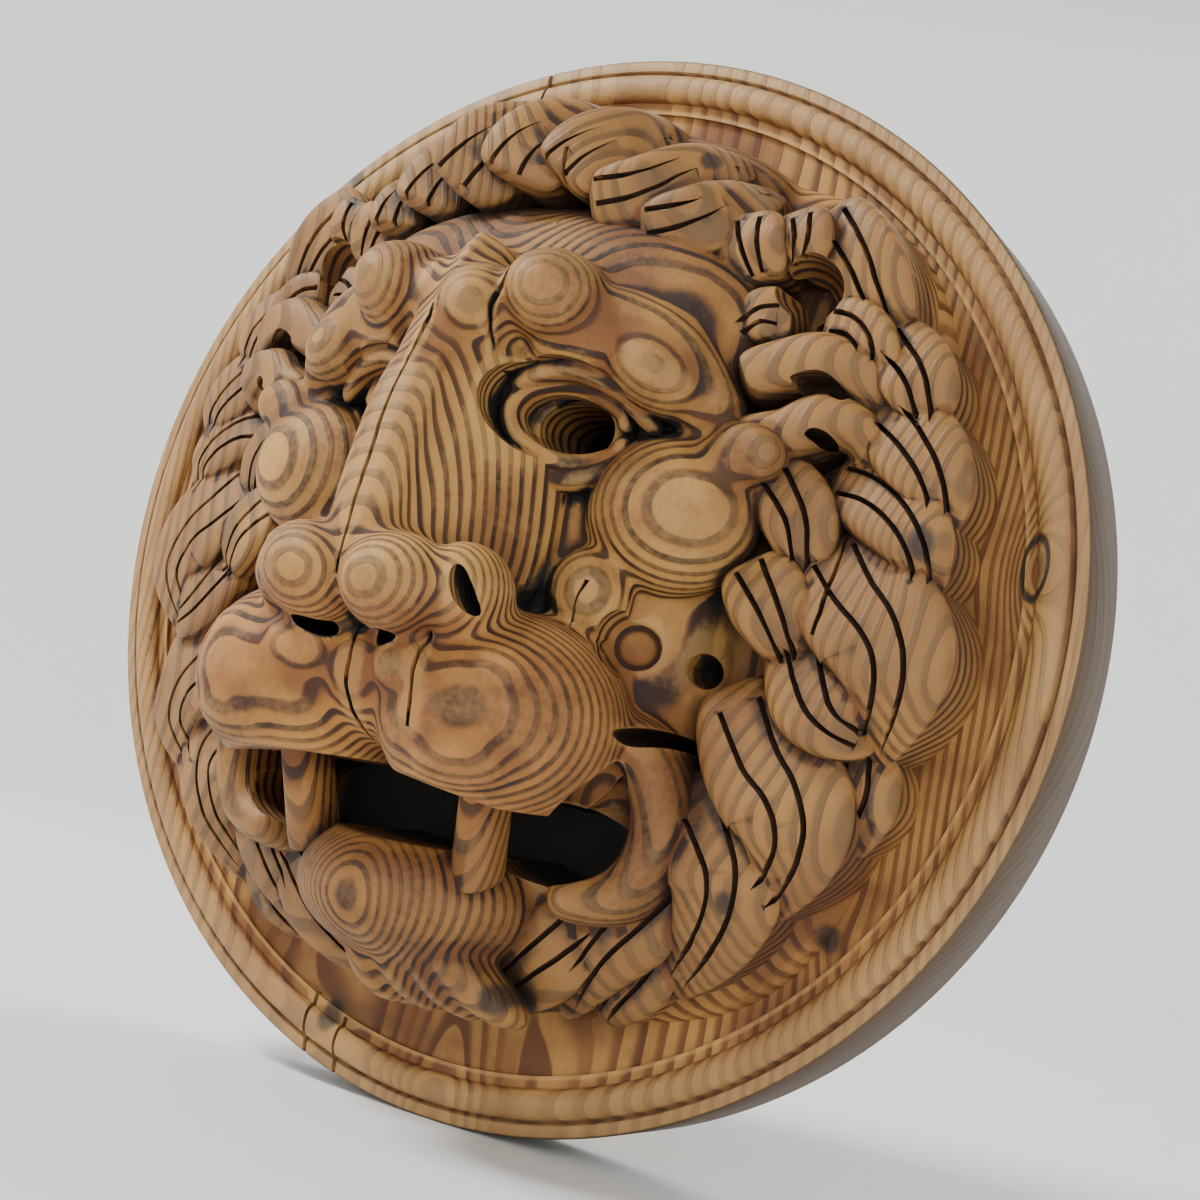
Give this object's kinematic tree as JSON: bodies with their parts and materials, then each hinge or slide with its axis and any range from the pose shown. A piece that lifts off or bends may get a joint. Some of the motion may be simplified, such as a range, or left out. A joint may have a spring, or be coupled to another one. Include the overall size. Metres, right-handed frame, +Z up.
{
  "type": "carved lion mask",
  "caption": "Round pine roundel with a moulded rim, carved with a lion's head in very high relief, for a wall or a piece of furniture.",
  "frame": {"origin": "centre of the flat back of the disc, where it meets the wall", "axes": "+Z up the face, +Y from the front into the wall, so the lion looks along -Y"},
  "size_m": [0.4, 0.1673, 0.4],
  "materials": {
    "pine": "old waxed softwood, worn pale on the crests and dark in the hollows"
  },
  "bodies": {
    "root": {"lion_mask": "pine"}
  },
  "joints": []
}
